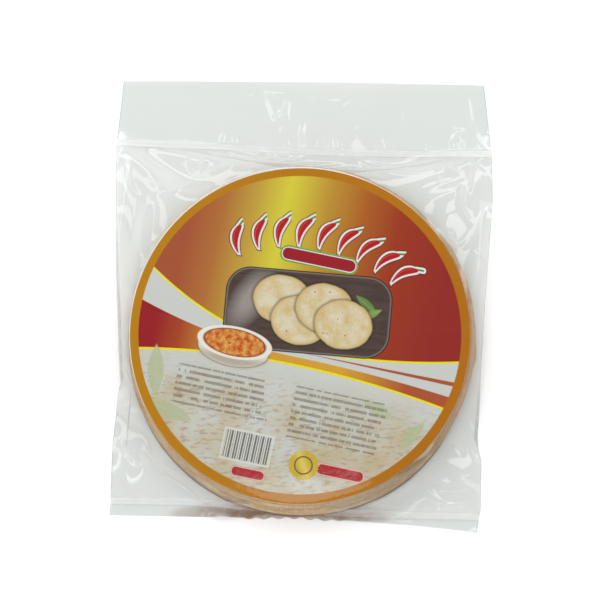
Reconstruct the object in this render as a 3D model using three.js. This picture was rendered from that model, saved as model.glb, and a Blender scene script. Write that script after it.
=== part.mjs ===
// A clear film bag drawn tight over a round stack of rice paper with a card label on top.
// The bag lies on its back with the label up. Millimetres, +Z up, the open mouth towards +Y,
// the origin at the bottom centre of the bag's box.
import * as THREE from 'three';

const { lerp, smoothstep } = THREE.MathUtils;
const point = (x, y) => new THREE.Vector2(x, y);

// ---- driving dimensions: the stack inside ----

const STACK_CENTRE = point(-1.3, -21.7);
const LABEL_RADIUS = 110.2;
const STACK_HEIGHT = 18.0;
const LABEL_THICKNESS = 0.6;
const FILM_THICKNESS = 0.1;
const TOP_HEIGHT = STACK_HEIGHT + LABEL_THICKNESS + 2 * FILM_THICKNESS;
const LABEL_STEP_WIDTH = 0.6;

// ---- driving dimensions: the bag ----

// Two plies of film lying together, and the narrow welds that close the bag: the top weld ends
// the closed part, the bottom weld lies at a share of the way out and leaves a hem beyond it.
const PLIES = 1.3;
const WELD_THICKNESS = 0.8;
const WELD_SPREAD = 0.08;
const BOTTOM_WELD_SHARE = 0.81;

// The folded side edges hug the stack half way up and drop almost to the ground away from it.
const EDGE_NEAR_HEIGHT = 8.4;
const EDGE_FAR_HEIGHT = 1.8;
const EDGE_NEAR_REACH = 3.5;
const EDGE_DROP_LENGTH = 11;
const EDGE_WAVE = 0.35;
const EDGE_WAVES = 9;

// A short reach of film wraps the rim of the stack, a long one hangs from it like a tent.
const WRAP_REACH = 8;
const TENT_REACH = 42;
const WRAP_POWER = 0.75;
const TENT_POWER = 1.75;
const UNDERSIDE_POWER = 2.6;

// Creases that fan out from each corner of the closed part towards the stack.
const CREASE_HEIGHT = 2.0;
const CREASES_PER_RIGHT_ANGLE = 4;
const CREASE_REACH = 62;

// The loose mouth beyond the top weld: it waves, stands open and holds a few pleats.
const MOUTH_HEIGHT = 3.4;
const MOUTH_WAVE = 1.2;
const MOUTH_WAVE_LENGTH = 88;
const MOUTH_GAP = 1.6;
const PLEATS = [
  { x: -22, width: 9, height: 2.2 },
  { x: 14, width: 11, height: 2.6 },
  { x: 112, width: 5, height: 1.8 },
];

// ---- the bag's outline as it lies, anticlockwise from above ----

const BOTTOM_LEFT = point(-124.6, -137.8);
const BOTTOM_RIGHT = point(114.4, -149.9);
const WELD_RIGHT = point(124.0, 100.1);
const WELD_LEFT = point(-121.0, 107.9);
const MOUTH_RIGHT = point(119.4, 145.9);
const MOUTH_LEFT = point(-116.7, 148.1);
const CORNERS = [BOTTOM_LEFT, BOTTOM_RIGHT, WELD_RIGHT, WELD_LEFT];

const BOTTOM_EDGE = new THREE.SplineCurve([
  BOTTOM_LEFT, point(-40.0, -139.1), point(28.0, -140.6), point(60.0, -144.0), BOTTOM_RIGHT,
]);
const RIGHT_EDGE = new THREE.SplineCurve([
  BOTTOM_RIGHT, point(116.4, -134.0), point(116.0, -102.4), point(111.6, -86.4),
  point(115.4, -47.4), point(118.6, -2.4), point(124.6, 70.0), WELD_RIGHT,
]);
const TOP_WELD = new THREE.SplineCurve([
  WELD_RIGHT, point(57.5, 100.3), point(-1.3, 102.9), point(-48.9, 105.5), WELD_LEFT,
]);
const LEFT_EDGE = new THREE.SplineCurve([
  WELD_LEFT, point(-121.0, 62.6), point(-118.1, -2.4), point(-116.2, -47.4),
  point(-119.0, -62.4), point(-122.6, -92.4), BOTTOM_LEFT,
]);
const MOUTH_EDGE = new THREE.SplineCurve([
  MOUTH_RIGHT, point(0, 148.8), point(-96, 149.9), MOUTH_LEFT,
]);

// ---- mesh density ----

const BOTTOM_STEPS = 28;
const SIDE_STEPS = 26;
const TOP_STEPS = 30;
const LABEL_RINGS = [0.6, 1];
const FILM_RINGS = [0, 0.09, 0.2, 0.33, 0.46, 0.58, 0.7, 0.81, 0.91, 1];
const MOUTH_ROWS = [0.08, 0.2, 0.36, 0.52, 0.68, 0.84, 1];

// ---- heights of the film over and under the plan ----

function edgeHeight(ray) {
  const reach = ray.length() - LABEL_RADIUS;
  const drop = Math.exp(-(reach - EDGE_NEAR_REACH) / EDGE_DROP_LENGTH);
  const wave = EDGE_WAVE * Math.sin(EDGE_WAVES * ray.angle());
  return lerp(EDGE_FAR_HEIGHT, EDGE_NEAR_HEIGHT, drop) + wave;
}

function creaseHeight(place) {
  const heights = CORNERS.map((corner) => {
    const away = place.clone().sub(corner);
    const ridge = 0.5 - 0.5 * Math.cos(4 * CREASES_PER_RIGHT_ANGLE * away.angle());
    return CREASE_HEIGHT * ridge * Math.sin(Math.PI * Math.min(away.length() / CREASE_REACH, 1));
  });
  return Math.max(...heights);
}

function closedFilm(place, ray, fraction, weldShare) {
  const reach = ray.length() - LABEL_RADIUS;
  const rim = TOP_HEIGHT - LABEL_THICKNESS;
  const out = Math.min(fraction / weldShare, 1);
  const wrapped = Math.max(Math.cos(out * Math.PI / 2), 0) ** WRAP_POWER;
  const tented = (1 - out) ** TENT_POWER;
  const fall = lerp(wrapped, tented, smoothstep(reach, WRAP_REACH, TENT_REACH));
  const pressed = Math.exp(-(((fraction - weldShare) / WELD_SPREAD) ** 2));
  const plies = lerp(PLIES, WELD_THICKNESS, pressed);
  const creases = creaseHeight(place) * Math.sin(Math.PI * out);
  const edge = edgeHeight(ray);
  return {
    top: lerp(edge + plies / 2, rim, fall) + creases,
    bottom: (edge - plies / 2) * out ** UNDERSIDE_POWER,
  };
}

function openFilm(place, ray, fraction) {
  const wave = MOUTH_WAVE * Math.sin(2 * Math.PI * place.x / MOUTH_WAVE_LENGTH);
  const pleats = PLEATS.map(({ x, width, height }) => height * Math.exp(-(((place.x - x) / width) ** 2)));
  const gap = fraction * (MOUTH_GAP + wave / 2 + Math.max(...pleats));
  const middle = lerp(edgeHeight(ray), MOUTH_HEIGHT + wave, smoothstep(fraction, 0, 1));
  return { top: middle + (PLIES + gap) / 2, bottom: Math.max(middle - (PLIES + gap / 2) / 2, 0) };
}

function weldedFilm(ray) {
  const edge = edgeHeight(ray);
  return { top: edge + WELD_THICKNESS / 2, bottom: edge - WELD_THICKNESS / 2 };
}

// ---- a plan whose every place has an upper and a lower height ----

class FilmPlan {
  places = [];

  faces = [];

  add(place, heights) {
    this.places.push({ place, ...heights });
    return this.places.length - 1;
  }

  // Joins two neighbouring rows of places, given in step with each other, anticlockwise.
  strip(row, next) {
    for (let step = 0; step + 1 < row.length; step += 1) {
      this.faces.push([row[step], row[step + 1], next[step + 1]]);
      this.faces.push([row[step], next[step + 1], next[step]]);
    }
  }

  rimEdges() {
    const edges = this.faces.flatMap(([a, b, c]) => [[a, b], [b, c], [c, a]]);
    const known = new Set(edges.map(([a, b]) => `${a} ${b}`));
    return edges.filter(([a, b]) => !known.has(`${b} ${a}`));
  }

  // The upper sheet, the lower sheet turned over, and a wall round the rim close the solid.
  toGeometry() {
    const count = this.places.length;
    const upper = this.places.flatMap(({ place, top }) => [place.x, place.y, top]);
    const lower = this.places.flatMap(({ place, bottom }) => [place.x, place.y, bottom]);
    const over = this.faces.flat();
    const under = this.faces.flatMap(([a, b, c]) => [c + count, b + count, a + count]);
    const wall = this.rimEdges().flatMap(([a, b]) => [a + count, b + count, b, a + count, b, a]);
    const geometry = new THREE.BufferGeometry();
    geometry.setAttribute('position', new THREE.Float32BufferAttribute([...upper, ...lower], 3));
    geometry.setIndex([...over, ...under, ...wall]);
    geometry.computeVertexNormals();
    return geometry;
  }
}

// ---- the closed part: rays from the stack's centre to the outline ----

function endsOfClosedPart() {
  const sides = [
    { curve: BOTTOM_EDGE, steps: BOTTOM_STEPS, weldShare: BOTTOM_WELD_SHARE },
    { curve: RIGHT_EDGE, steps: SIDE_STEPS, weldShare: 1 },
    { curve: TOP_WELD, steps: TOP_STEPS, weldShare: 1 },
    { curve: LEFT_EDGE, steps: SIDE_STEPS, weldShare: 1 },
  ];
  return sides.flatMap(({ curve, steps, weldShare }) =>
    curve.getSpacedPoints(steps).slice(0, -1).map((end) => ({ end, weldShare })));
}

function addRay(plan, { end, weldShare }) {
  const ray = end.clone().sub(STACK_CENTRE);
  const placeAt = (radius) => ray.clone().setLength(radius).add(STACK_CENTRE);
  const onLabel = LABEL_RINGS.map(
    (share) => plan.add(placeAt(LABEL_RADIUS * share), { top: TOP_HEIGHT, bottom: 0 }));
  const stepRadius = LABEL_RADIUS + LABEL_STEP_WIDTH;
  const onFilm = FILM_RINGS.map((fraction) => {
    const place = placeAt(lerp(stepRadius, ray.length(), fraction));
    return plan.add(place, closedFilm(place, ray, fraction, weldShare));
  });
  return [...onLabel, ...onFilm];
}

function addClosedPart(plan) {
  const hub = plan.add(STACK_CENTRE, { top: TOP_HEIGHT, bottom: 0 });
  const rays = endsOfClosedPart().map((end) => addRay(plan, end));
  rays.forEach((ray, index) => {
    const next = rays[(index + 1) % rays.length];
    plan.faces.push([hub, ray[0], next[0]]);
    plan.strip(ray, next);
  });
  const weldStart = BOTTOM_STEPS + SIDE_STEPS;
  return rays.slice(weldStart, weldStart + TOP_STEPS + 1).map((ray) => ray.at(-1));
}

// ---- the open part: rows from the top weld to the mouth ----

function addOpenPart(plan, weld) {
  const mouth = MOUTH_EDGE.getSpacedPoints(TOP_STEPS);
  const columns = weld.map((weldIndex, step) => {
    const start = plan.places[weldIndex].place;
    const ray = start.clone().sub(STACK_CENTRE);
    const rows = MOUTH_ROWS.map((fraction, row) => {
      const place = start.clone().lerp(mouth[step], fraction);
      return plan.add(place, row === 0 ? weldedFilm(ray) : openFilm(place, ray, fraction));
    });
    return [weldIndex, ...rows];
  });
  columns.slice(1).forEach((column, step) => plan.strip(columns[step], column));
}

function clearBag() {
  const plan = new FilmPlan();
  addOpenPart(plan, addClosedPart(plan));
  const film = new THREE.MeshStandardMaterial({ color: 0xe1e4e1, roughness: 0.25, metalness: 0 });
  const bag = new THREE.Mesh(plan.toGeometry(), film);
  bag.name = 'clear_bag';
  return bag;
}

const ricePaperPack = new THREE.Group();
ricePaperPack.add(clearBag());

export default ricePaperPack;
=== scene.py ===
import math
from functools import partialmethod

import bpy
import numpy as np
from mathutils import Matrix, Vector


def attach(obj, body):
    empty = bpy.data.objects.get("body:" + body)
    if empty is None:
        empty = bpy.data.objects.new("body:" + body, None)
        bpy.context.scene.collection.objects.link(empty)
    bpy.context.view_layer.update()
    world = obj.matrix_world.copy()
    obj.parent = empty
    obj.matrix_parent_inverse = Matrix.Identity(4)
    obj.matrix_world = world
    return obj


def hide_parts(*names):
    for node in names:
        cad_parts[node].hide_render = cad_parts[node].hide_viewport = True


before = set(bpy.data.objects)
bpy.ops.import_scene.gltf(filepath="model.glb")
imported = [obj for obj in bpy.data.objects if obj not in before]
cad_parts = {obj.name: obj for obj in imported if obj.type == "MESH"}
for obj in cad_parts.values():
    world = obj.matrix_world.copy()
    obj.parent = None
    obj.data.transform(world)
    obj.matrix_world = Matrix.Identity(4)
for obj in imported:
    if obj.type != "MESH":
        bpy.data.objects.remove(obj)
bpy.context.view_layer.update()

MM = 0.001

# ---- driving sizes: the stack's place, radius and height are the solid's ----
STACK_CENTRE = (-1.3, -21.7)
LABEL_RADIUS = 110.2
LABEL_THICKNESS = 0.5
STACK_HEIGHT = 18.0
TOP_HEIGHT = STACK_HEIGHT + LABEL_THICKNESS
FILM_CLEARANCE = 0.15

# The lower sheets have slipped towards the bottom of the bag and a little to the right.
SLIP = (0.8, -6.2)

# ---- the bag's outline as it lies: lines across it by (x, y), its left and right edge by (y, x) ----
BOTTOM_EDGE = ((-124.0, -136.8), (-40.0, -138.3), (0.0, -138.4), (34.0, -140.2), (70.0, -143.0),
               (112.8, -148.2))
BOTTOM_WELD = ((-123.0, -127.8), (-78.0, -128.2), (-40.0, -131.4), (10.0, -135.2), (50.0, -137.0),
               (114.6, -138.0))
TOP_WELD = ((-121.0, 108.2), (-48.9, 105.5), (-1.3, 102.6), (57.5, 101.0), (124.0, 100.1))
MOUTH_EDGE = ((-116.2, 149.8), (0.0, 149.0), (119.8, 146.9))
LEFT_EDGE = ((-136.8, -123.8), (-92.4, -122.6), (-62.4, -119.4), (-47.4, -116.0), (-2.4, -118.1),
             (62.6, -121.0), (107.9, -121.0), (148.1, -116.7))
RIGHT_EDGE = ((-148.2, 112.6), (-134.0, 115.2), (-102.4, 116.0), (-86.4, 111.9), (-47.4, 115.4),
              (-2.4, 118.6), (70.0, 124.4), (100.1, 124.0), (145.9, 119.4))


# ---- the film: a simulated bag ----
# Two grids of points, the bag's front and back, hang together at the side folds and the welds.
# Links between neighbours hardly stretch. A block the shape of the stack grows between them, so
# that the film wraps it and creases where it has length to spare.

# The bag's width where it is laid flat, by the height up the bag.
FLAT_WIDTH = ((-140.0, 240.5), (-100.0, 243.5), (-22.0, 249.0), (60.0, 248.5), (104.0, 247.0),
              (148.0, 240.5))
BAG_HALF_WIDTH = 120.0
COLUMNS = 101
HEM_ROWS = 4
CLOSED_ROWS = 100
MOUTH_ROWS = 18
TOP_WELD_ROW = HEM_ROWS + CLOSED_ROWS
WELD_ROWS = (HEM_ROWS, TOP_WELD_ROW, TOP_WELD_ROW + 1)

# Rows and columns of the grid, each with the line that it follows.
WELDS = ((HEM_ROWS, BOTTOM_WELD), (TOP_WELD_ROW, TOP_WELD))
CROSS_LINES = ((0, BOTTOM_EDGE), *WELDS, (-1, MOUTH_EDGE))
SIDES = ((0, LEFT_EDGE), (-1, RIGHT_EDGE))

# The front's length between the welds, and how much longer than straight the back and mouth are.
FRONT_LENGTH_MIDDLE = 256.5
FRONT_LENGTH_SIDE = 237.5
FRONT_LENGTH_POWER = 2.5
BACK_SLACK = 1.006
MOUTH_SLACK = 1.02

# The start: levels of the two sheets, an unevenness that creases grow from, the block's top.
FILM_SEED = 3
START_LEVELS = (1.5, 0.4)
START_UNEVENNESS = 0.1
START_TOP = 1.0

# How the film settles: the stack grows in the first part of the steps. Each step keeps a share of
# the motion, mends a share of every error and lets the film sink a little.
STEPS = 700
GROWING_SHARE = 0.4
DAMPING = 0.95
STIFFNESS = 0.2
COMPRESSION = 0.6
SHEAR = 0.8
SIDE_PIN = 0.3
CROSS_PIN = 0.5
GRAVITY = 0.002

# The gap between the sheets, their lowest level, their distance from the stack's side, and how
# much nearer than its top that side has to be before film leaves the stack through it.
PLY_GAP = 0.3
GROUND = 0.06
RIM_CLEARANCE = 0.6
SIDE_BIAS = 2.0
TINY = 1e-9


def along(line, at):
    """A line's second coordinate where its first one is at."""
    line = np.array(line)
    return np.interp(at, line[:, 0], line[:, 1])


def between_lines(lines):
    """The height up the bag of every grid point, from the four lines across it."""
    hem = np.linspace(0.0, 1.0, HEM_ROWS, endpoint=False)
    closed = np.linspace(1.0, 2.0, CLOSED_ROWS, endpoint=False)
    rows = np.concatenate([hem, closed, np.linspace(2.0, 3.0, MOUTH_ROWS + 1)])
    return np.stack([np.interp(rows, range(4), column) for column in lines.T], -1)


def flat_sheet(closed_length, lines, across):
    """The sheet before it was drawn over the stack, as flat points."""
    width = along(FLAT_WIDTH, between_lines(lines))
    hem = lines[1] - lines[0]
    mouth = lines[3] - lines[2]
    zero = np.zeros_like(hem)
    up = between_lines(np.stack([-hem, zero, closed_length, closed_length + mouth * MOUTH_SLACK]))
    return np.stack([across * width / 2.0, up], -1)


def bag_links(flat):
    """Links in batches that share no point, each with its length and its stiffness."""
    rows, columns = flat.shape[1:3]
    every = slice(None)
    batches = []
    for first in (0, 1):
        low, high = slice(first, rows - 1, 2), slice(first + 1, rows, 2)
        near, far = slice(first, columns - 1, 2), slice(first + 1, columns, 2)
        left, right = slice(0, columns - 1), slice(1, columns)
        for a, b, hold in (
            ((every, every, near), (every, every, far), 1.0),
            ((every, low, every), (every, high, every), 1.0),
            ((every, low, left), (every, high, right), SHEAR),
            ((every, low, right), (every, high, left), SHEAR),
        ):
            batches.append((a, b, np.linalg.norm(flat[b] - flat[a], axis=-1), hold))
    return batches


def tighten(place, a, b, length, hold):
    """Brings linked points towards their distance. Film gives in to a push before a pull."""
    span = place[b] - place[a]
    distance = np.linalg.norm(span, axis=-1) + TINY
    error = (distance - length) / distance
    step = span * (error * np.where(error > 0.0, hold, hold * COMPRESSION) * 0.5)[..., None]
    place[a] += step
    place[b] -= step


def stiffen(place, axis):
    """Draws each point towards the straight line between its neighbours' heights."""
    height = np.moveaxis(place[..., 2], axis, 0)
    bow = (height[:-2] - 2.0 * height[1:-1] + height[2:]) * (STIFFNESS / 4.0)
    height[1:-1] += 2.0 * bow
    height[:-2] -= bow
    height[2:] -= bow


def hold_edges(place):
    """Ties the folds and welds, and draws the outline towards its place."""
    for column, edge in SIDES:
        fold = place[:, :, column].mean(0)
        fold[:, 0] += SIDE_PIN * (along(edge, fold[:, 1]) - fold[:, 0])
        place[:, :, column] = fold
    for row in WELD_ROWS:
        place[:, row] = place[:, row].mean(0)
    for row, line in CROSS_LINES:
        cross = place[:, row]
        cross[..., 1] += CROSS_PIN * (along(line, cross[..., 0]) - cross[..., 1])


def keep_off_stack(place, top, grown):
    """Pushes film that is inside the stack out through its top, its base or its side."""
    height = place[..., 2]
    low = grown * (1.0 - np.clip(height / top, 0.0, 1.0))
    away = place[..., :2] - np.array(STACK_CENTRE) - low[..., None] * np.array(SLIP)
    radius = np.linalg.norm(away, axis=-1) + TINY
    depth = LABEL_RADIUS + RIM_CLEARANCE - radius
    for sheet, (through, level) in enumerate(((top - height[0], top), (height[1] - GROUND, GROUND))):
        hit = (depth[sheet] > 0.0) & (through > 0.0)
        flat = hit & (through < depth[sheet] + SIDE_BIAS)
        height[sheet][flat] = level
        side = hit & ~flat
        out = (depth[sheet] / radius[sheet])[side, None]
        place[sheet, ..., :2][side] += away[sheet][side] * out


def keep_apart(place):
    """Keeps the front above the back, and both above the ground."""
    height = place[:, :, 1:-1, 2]
    front, back = height
    middle = np.maximum((front + back) / 2.0, GROUND + PLY_GAP / 2.0)
    close = front - back < PLY_GAP
    front[close] = middle[close] + PLY_GAP / 2.0
    back[close] = middle[close] - PLY_GAP / 2.0
    np.maximum(place[..., 2], GROUND, out=place[..., 2])


def front_length(across):
    """How long the front is between the welds, shorter towards the sides."""
    middle = 1.0 - np.abs(across) ** FRONT_LENGTH_POWER
    return FRONT_LENGTH_SIDE + (FRONT_LENGTH_MIDDLE - FRONT_LENGTH_SIDE) * middle


def draw_bag():
    """The front and the back sheet once the film has settled."""
    across = np.linspace(-1.0, 1.0, COLUMNS)
    lines = np.stack([along(line, across * BAG_HALF_WIDTH) for _, line in CROSS_LINES])
    front = front_length(across)
    back = (lines[2] - lines[1]) * BACK_SLACK
    flat = np.stack([flat_sheet(length, lines, across) for length in (front, back)])
    up = between_lines(lines)
    left, right = along(LEFT_EDGE, up), along(RIGHT_EDGE, up)
    start = left + (right - left) * (across + 1.0) / 2.0
    random = np.random.default_rng(FILM_SEED)
    place = np.stack([np.stack([start, up, np.full_like(up, level)], -1) for level in START_LEVELS])
    place[..., 2] += START_UNEVENNESS * random.normal(size=place.shape[:3])
    before = place.copy()
    links = bag_links(flat)
    for step in range(STEPS):
        grown = min(1.0, step / (GROWING_SHARE * STEPS))
        top = START_TOP + (TOP_HEIGHT + FILM_CLEARANCE - START_TOP) * grown
        moved = (place - before) * DAMPING
        before = place.copy()
        place += moved
        place[..., 2] -= GRAVITY
        for batch in links:
            tighten(place, *batch)
        stiffen(place, 1)
        stiffen(place, 2)
        hold_edges(place)
        keep_off_stack(place, top, grown)
        keep_apart(place)
    return place


def refine(grid, axis, count):
    """The same sheet with count points along an axis, on a cubic B-spline."""
    grid = np.moveaxis(grid, axis, 0)
    first, last = 2.0 * grid[:1] - grid[1:2], 2.0 * grid[-1:] - grid[-2:-1]
    padded = np.concatenate([first, grid, last])
    at = np.linspace(0.0, len(grid) - 1.0, count)
    cell = np.minimum(at.astype(int), len(grid) - 2)
    t = (at - cell).reshape(-1, *[1] * (grid.ndim - 1))
    weights = ((1 - t) ** 3, 3 * t ** 3 - 6 * t ** 2 + 4, 3 * t + 3 * t ** 2 - 3 * t ** 3 + 1, t ** 3)
    fine = sum(weight * padded[cell + k] for k, weight in enumerate(weights)) / 6.0
    return np.moveaxis(fine, 0, axis)


# ---- the film's small forms, laid over the settled sheets ----
# Each sheet is laid out again on a finer grid, on which sharp folds, puckers and a hem lie. Close
# round the label the front lies level.
FINE_ROWS = 278
FINE_COLUMNS = 266
LABEL_MARGIN = 1.0
LABEL_FADE = 1.5

# Where the solver's unevenness is taken off, and how often the film is smoothed there.
MOUTH_START = 3.0
MOUTH_SMOOTHINGS = 300
LIP_ROWS = 10
EDGE_COLUMNS = 12
WELD_REACH = 7.0
WELD_SHARE = 0.5
RIM_OFFSET = 2.0
RIM_REACH = 5.0
RIM_SMOOTHINGS = 12
CALM_DISTANCE = 3.5
CALM_SMOOTHINGS = 18

# The welds: flat up to this far from their line, the sheets this far above and below it. The
# line lies half a row up, between the two rows that the top weld ties.
WELD_FLAT = 2.4
WELDED_GAP = 0.05
HALF_ROW = 0.5

# Folds: three places that the crest runs through, and the half width.
FOLD_STEPS = 8
FOLD_SLOPE = 0.39
FOLD_FADE_POWER = 0.6
EDGE_FADE = 2.5
FOLDS = (
    # In the mouth.
    ((-56, 145), (-38, 141), (-30, 143), 1.6), ((-28, 143), (-20, 140), (-7, 141), 2.2),
    ((-23, 141), (-18, 129), (-14, 117), 4.6), ((-9, 139), (-10, 129), (-10, 114), 3.2),
    ((-8, 135), (-14, 128), (-19, 124), 1.8), ((3, 141), (20, 135), (32, 138), 2.4),
    ((10, 136), (19, 131), (29, 135), 1.6), ((4, 129), (7, 118), (13, 107), 2.4),
    ((3, 127), (0, 118), (-1, 106), 3.2), ((40, 141), (46, 139), (59, 141), 1.4),
    ((75, 143), (90, 145), (110, 146), 1.4), ((64, 140), (65, 124), (63, 110), 1.8),
    ((108, 150), (110, 123), (118, 104), 3.0), ((94, 132), (96, 120), (106, 114), 2.0),
    ((98, 107), (101, 113), (106, 116), 3.2), ((38, 115), (40, 111), (43, 105), 1.6),
    # In the upper left corner.
    ((-120, 103), (-118, 98), (-113, 92), 1.8), ((-113, 91), (-109, 74), (-98, 71), 2.2),
    ((-98, 71), (-88, 72), (-70, 80), 2.4), ((-72, 101), (-72, 92), (-69, 85), 2.4),
    ((-61, 102), (-64, 93), (-69, 85), 3.0), ((-59, 96), (-56, 101), (-52, 99), 2.0),
    ((-67, 86), (-52, 89), (-40, 97), 2.6), ((-100, 84), (-90, 76), (-86, 88), 3.0),
    ((-102, 68), (-103, 50), (-106, 30), 6.0),
    # Above the label.
    ((-44, 101), (-32, 98), (-20, 98), 1.6), ((-37, 95), (-8, 93), (28, 94), 1.8),
    ((-22, 99), (-12, 96), (2, 99), 1.6), ((35, 96), (54, 87), (88, 88), 2.2),
    ((38, 96), (62, 91), (90, 89), 2.0),
    # In the upper right corner and down the right.
    ((89, 99), (94, 90), (108, 85), 2.4), ((107, 100), (109, 86), (108, 71), 2.6),
    ((107, 100), (112, 92), (120, 87), 2.2), ((90, 90), (88, 84), (90, 78), 1.8),
    ((76, 72), (93, 79), (108, 82), 3.2), ((80, 66), (96, 72), (110, 77), 3.0),
    ((108, 82), (103, 68), (111, 51), 3.0), ((90, 50), (104, 36), (121, 70), 2.6),
    ((113, 35), (116, 32), (121, 27), 2.0), ((96, 47), (98, 44), (97, 41), 2.0),
    # Round the bottom.
    ((97, -92), (101, -95), (104, -98), 2.2), ((108, -93), (110, -97), (114, -100), 2.0),
    ((84, -109), (96, -118), (112, -114), 3.0), ((76, -114), (86, -126), (101, -133), 3.0),
    ((88, -133), (103, -130), (114, -135), 2.4), ((34, -131), (40, -139), (44, -143), 2.0),
    ((-102, -96), (-98, -105), (-88, -111), 3.0), ((-118, -88), (-112, -98), (-103, -104), 3.0),
    ((-122, -128), (-95, -124), (-66, -127), 2.0),
)

# Puckers stand along the top weld: how many, from where to where, and on which side of it.
PUCKER_SEED = 5
PUCKERS = ((34, -56.0, 116.0, 1.0), (10, -60.0, 40.0, -1.0))
PUCKER_HALF_WIDTH = (2.8, 5.4)
PUCKER_LENGTH = (6.0, 15.0)
PUCKER_SLOPE = 0.42
PUCKER_LEAN = 0.25
PUCKER_RISE = 3.0

# The hem is scalloped below the stack.
SCALLOP_DEPTH = 1.3
SCALLOP_LENGTH = 9.8
SCALLOPS_FROM, SCALLOPS_TO = -42.0, 28.0


def bell(distance, reach, power=2):
    """1 at a distance of 0 and near 0 past the reach, with a step that is steeper for a higher power."""
    return np.exp(-(distance / reach) ** power)


def smooth(grid, share, times):
    """Evens out numbers on a grid, by a share that varies over it, with a free last row."""
    for _ in range(times):
        around = (grid[:-2, 1:-1] + grid[2:, 1:-1] + grid[1:-1, :-2] + grid[1:-1, 2:]) / 4.0
        grid[1:-1, 1:-1] += share[1:-1, 1:-1] * (around - grid[1:-1, 1:-1])
        grid[-1, 1:-1] += share[-1, 1:-1] * ((grid[-1, :-2] + grid[-1, 2:]) / 2.0 - grid[-1, 1:-1])


def rest_on_label(front):
    """Holds the film just over the label, and gives each place's distance from its centre."""
    away = np.linalg.norm(front[..., :2] - np.array(STACK_CENTRE), axis=-1)
    on = np.clip((LABEL_RADIUS + LABEL_MARGIN - away) / LABEL_FADE, 0.0, 1.0)
    front[..., 2] += on * (TOP_HEIGHT + FILM_CLEARANCE - front[..., 2])
    return away


def weld_line(sheet, weld_row):
    """The places along a weld, which is a row of the solver's grid."""
    rows = HEM_ROWS + CLOSED_ROWS + MOUTH_ROWS
    return sheet[round((weld_row + HALF_ROW) * (len(sheet) - 1) / rows)]


def above_weld(sheet, weld_row):
    """How far each place lies above a weld."""
    return sheet[..., 1] - weld_line(sheet, weld_row)[:, 1]


def even_out_mouth(sheet):
    """Takes the solver's unevenness off the mouth and the top weld."""
    past = above_weld(sheet, TOP_WELD_ROW)
    sheet[-LIP_ROWS:, :, 2] = sheet[-LIP_ROWS - 1, :, 2]
    mouth = np.clip((past - MOUTH_START) / MOUTH_START, 0.0, 1.0)
    for axis in (0, 1):
        smooth(sheet[..., axis], mouth, MOUTH_SMOOTHINGS)
    welds = bell(past, WELD_REACH) + bell(above_weld(sheet, HEM_ROWS), WELD_REACH)
    even = np.maximum(mouth, np.minimum(welds, 1.0))
    for edge, inner in ((0, EDGE_COLUMNS), (-1, -1 - EDGE_COLUMNS)):
        sheet[:, edge, 2] += even[:, edge] * (sheet[:, inner, 2] - sheet[:, edge, 2])
    smooth(sheet[..., 2], np.maximum(mouth, WELD_SHARE * welds), MOUTH_SMOOTHINGS)


def press_welds(place):
    """Makes the welds straight and flat, with the two sheets against each other."""
    for row, line in WELDS:
        off = np.stack([above_weld(sheet, row) for sheet in place])
        shift = along(line, place[..., 0]) + off - place[..., 1]
        place[..., 1] += bell(off, WELD_REACH) * shift
        level = np.mean([weld_line(sheet, row)[:, 2] for sheet in place], axis=0)
        gap = np.array([WELDED_GAP, -WELDED_GAP])[:, None, None]
        place[..., 2] += bell(off, WELD_FLAT, 6) * (level + gap - place[..., 2])


def straighten_sides(place):
    """Draws the side folds onto the outline, and the film beside them along."""
    columns = np.arange(place.shape[2])
    for column, edge in SIDES:
        near = np.clip(1.0 - np.abs(columns - columns[column]) / EDGE_COLUMNS, 0.0, 1.0)
        shift = along(edge, place[:, :, column, 1]) - place[:, :, column, 0]
        place[..., 0] += near * shift[..., None]
        place[:, :, column] = place[:, :, column].mean(0)


def even_out_rim(front):
    """Takes the solver's unevenness off the stack's rim, and calms the film beyond it."""
    away = rest_on_label(front)
    smooth(front[..., 2], bell(away - LABEL_RADIUS - RIM_OFFSET, RIM_REACH), RIM_SMOOTHINGS)
    beyond = np.clip((away - LABEL_RADIUS) / CALM_DISTANCE - 1.0, 0.0, 1.0)
    welded = bell(above_weld(front, TOP_WELD_ROW), WELD_FLAT, 4)
    for axis in range(3):
        smooth(front[..., axis], beyond * (1.0 - welded), CALM_SMOOTHINGS)


def fold_lift(place, start, middle, end, width):
    """How far one fold lifts the film at each place: a sharp crest that fades at both ends."""
    start, middle, end = (np.array(point, float) for point in (start, middle, end))
    t = np.linspace(0.0, 1.0, FOLD_STEPS + 1)[:, None]
    pull = 2.0 * middle - (start + end) / 2.0
    crest = (1.0 - t) ** 2 * start + 2.0 * t * (1.0 - t) * pull + t ** 2 * end
    lift = np.zeros(place.shape[:2])
    for step in range(FOLD_STEPS):
        way = crest[step + 1] - crest[step]
        away = place[..., :2] - crest[step]
        along_way = np.clip(away @ way / (way @ way), 0.0, 1.0)
        off = np.linalg.norm(away - along_way[..., None] * way, axis=-1)
        fade = np.sin(np.pi * (step + along_way) / FOLD_STEPS) ** FOLD_FADE_POWER
        lift = np.maximum(lift, FOLD_SLOPE * fade * np.maximum(width - off, 0.0))
    return lift


def pucker_lift(place, off, count, first, last, side, random):
    """Small teeth of film, most of them low, along a weld. Each place is off millimetres above it."""
    lift = np.zeros(place.shape[:2])
    for _ in range(count):
        centre = random.uniform(first, last)
        size = random.uniform(0.0, 1.0) ** 2
        half, span = (low + size * (high - low) for low, high in (PUCKER_HALF_WIDTH, PUCKER_LENGTH))
        lean = random.normal() * PUCKER_LEAN
        across = np.abs(place[..., 0] - centre - lean * off)
        reach = np.clip(side * off / span, 0.0, 1.0)
        flank = half * np.minimum(PUCKER_RISE * reach, 1.0) * (1.0 - reach)
        lift = np.maximum(lift, PUCKER_SLOPE * np.maximum(flank - across, 0.0))
    return lift


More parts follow.
